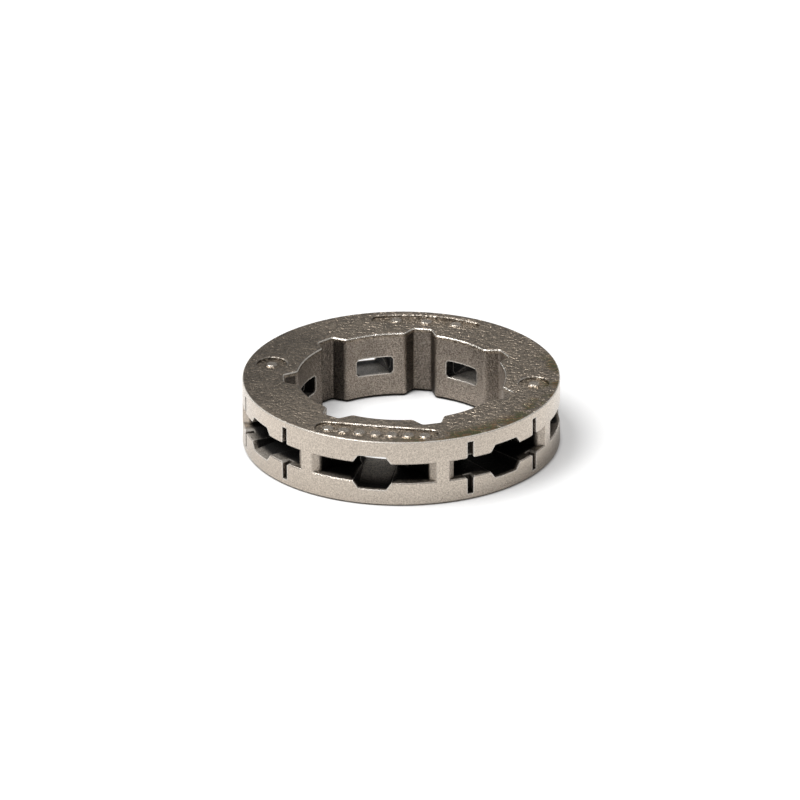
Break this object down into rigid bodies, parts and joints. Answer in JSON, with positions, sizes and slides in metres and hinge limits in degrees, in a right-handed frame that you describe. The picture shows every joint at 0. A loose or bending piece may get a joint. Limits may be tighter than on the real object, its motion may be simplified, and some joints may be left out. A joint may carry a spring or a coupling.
{
  "type": "chainsaw rim sprocket",
  "caption": "Cast steel rim sprocket for a chainsaw: a ring with windows for the chain's drive links, narrow posts between its flanges, and a splined bore that slides on a drum hub.",
  "frame": {"origin": "centre of the lower face, on the bore axis", "axes": "+Z along the bore axis, from the plain lower face to the marked upper face; one chain window faces -Y"},
  "size_m": [0.034, 0.034, 0.0074],
  "materials": {
    "cast_steel": "tumbled casting with pebbled faces and a finer, brighter outer wall"
  },
  "bodies": {
    "root": {"rim_sprocket": "cast_steel"}
  },
  "joints": []
}
